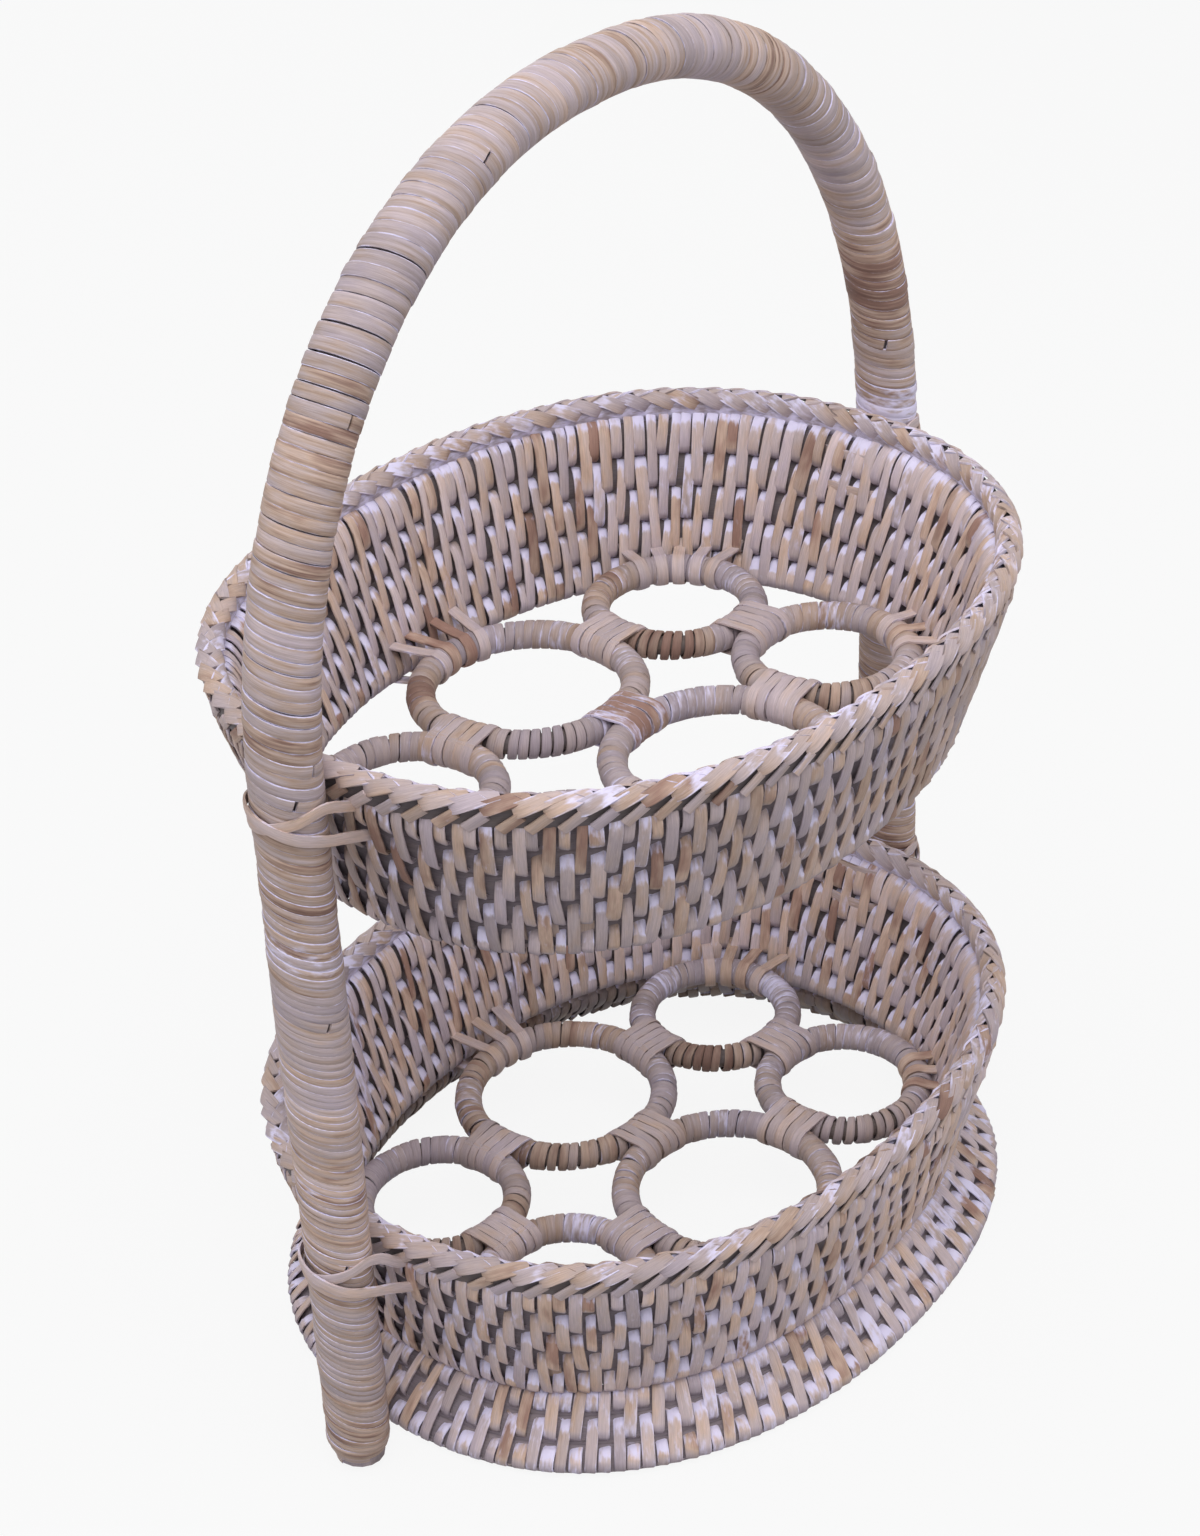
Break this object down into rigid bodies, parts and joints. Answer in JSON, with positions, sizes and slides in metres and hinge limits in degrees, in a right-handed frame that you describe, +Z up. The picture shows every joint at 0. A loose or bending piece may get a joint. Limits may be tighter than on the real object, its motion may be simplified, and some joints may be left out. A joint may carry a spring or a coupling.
{
  "type": "tiered egg basket",
  "caption": "Tiered oval cane basket with woven walls, rings that seat eggs in each tray, a flared foot and a tall wrapped arch handle.",
  "frame": {"origin": "on the floor under the middle of the basket", "axes": "+Z up, +X along the basket's long axis in the plane of the handle, +Y across it"},
  "size_m": [0.2292, 0.164, 0.2996],
  "materials": {
    "handle_pole": "bare split cane pole",
    "handle_cane": "flat cane, thin whitewash in the grooves",
    "ring_cane": "flat cane, thin grey whitewash",
    "tie_cane": "flat cane",
    "wall_strips": "flat cane strips, thin grey whitewash",
    "rods": "round cane core, whitewashed",
    "rim_plait": "plaited flat cane, thin whitewash"
  },
  "bodies": {
    "root": {"handle_core": "handle_pole", "handle_wrap": "handle_cane", "upper_ring_back_left": "ring_cane", "upper_ring_back_middle": "ring_cane", "upper_ring_back_right": "ring_cane", "upper_ring_front_right": "ring_cane", "upper_ring_front_middle": "ring_cane", "upper_ring_front_left": "ring_cane", "upper_ring_tie_back_left_to_back_middle": "tie_cane", "upper_ring_tie_back_middle_to_back_right": "tie_cane", "upper_ring_tie_back_right_to_front_right": "tie_cane", "upper_ring_tie_front_right_to_front_middle": "tie_cane", "upper_ring_tie_front_middle_to_front_left": "tie_cane", "upper_ring_tie_front_left_to_back_left": "tie_cane", "upper_ring_tie_back_middle_to_front_middle": "tie_cane", "upper_wall_tie_back_middle": "tie_cane", "upper_wall_tie_back_right": "tie_cane", "upper_wall_tie_front_right": "tie_cane", "upper_wall_tie_front_left": "tie_cane", "upper_lashing_left": "tie_cane", "upper_lashing_right": "tie_cane", "upper_wall_weave": "wall_strips", "upper_wall_rod_1": "rods", "upper_wall_rod_2": "rods", "upper_wall_rod_3": "rods", "upper_wall_rod_4": "rods", "upper_wall_rod_5": "rods", "upper_rim": "rim_plait", "lower_ring_back_left": "ring_cane", "lower_ring_back_middle": "ring_cane", "lower_ring_back_right": "ring_cane", "lower_ring_front_right": "ring_cane", "lower_ring_front_middle": "ring_cane", "lower_ring_front_left": "ring_cane", "lower_ring_tie_back_left_to_back_middle": "tie_cane", "lower_ring_tie_back_middle_to_back_right": "tie_cane", "lower_ring_tie_back_right_to_front_right": "tie_cane", "lower_ring_tie_front_right_to_front_middle": "tie_cane", "lower_ring_tie_front_middle_to_front_left": "tie_cane", "lower_ring_tie_front_left_to_back_left": "tie_cane", "lower_ring_tie_back_middle_to_front_middle": "tie_cane", "lower_wall_tie_back_middle": "tie_cane", "lower_wall_tie_back_right": "tie_cane", "lower_wall_tie_front_right": "tie_cane", "lower_wall_tie_front_left": "tie_cane", "lower_lashing_left": "tie_cane", "lower_lashing_right": "tie_cane", "lower_wall_weave": "wall_strips", "lower_wall_rod_1": "rods", "lower_wall_rod_2": "rods", "lower_wall_rod_3": "rods", "lower_wall_rod_4": "rods", "lower_wall_rod_5": "rods", "lower_rim": "rim_plait", "foot_weave": "wall_strips", "foot_rod_1": "rods", "foot_rod_2": "rods", "foot_rod_3": "rods"}
  },
  "joints": []
}
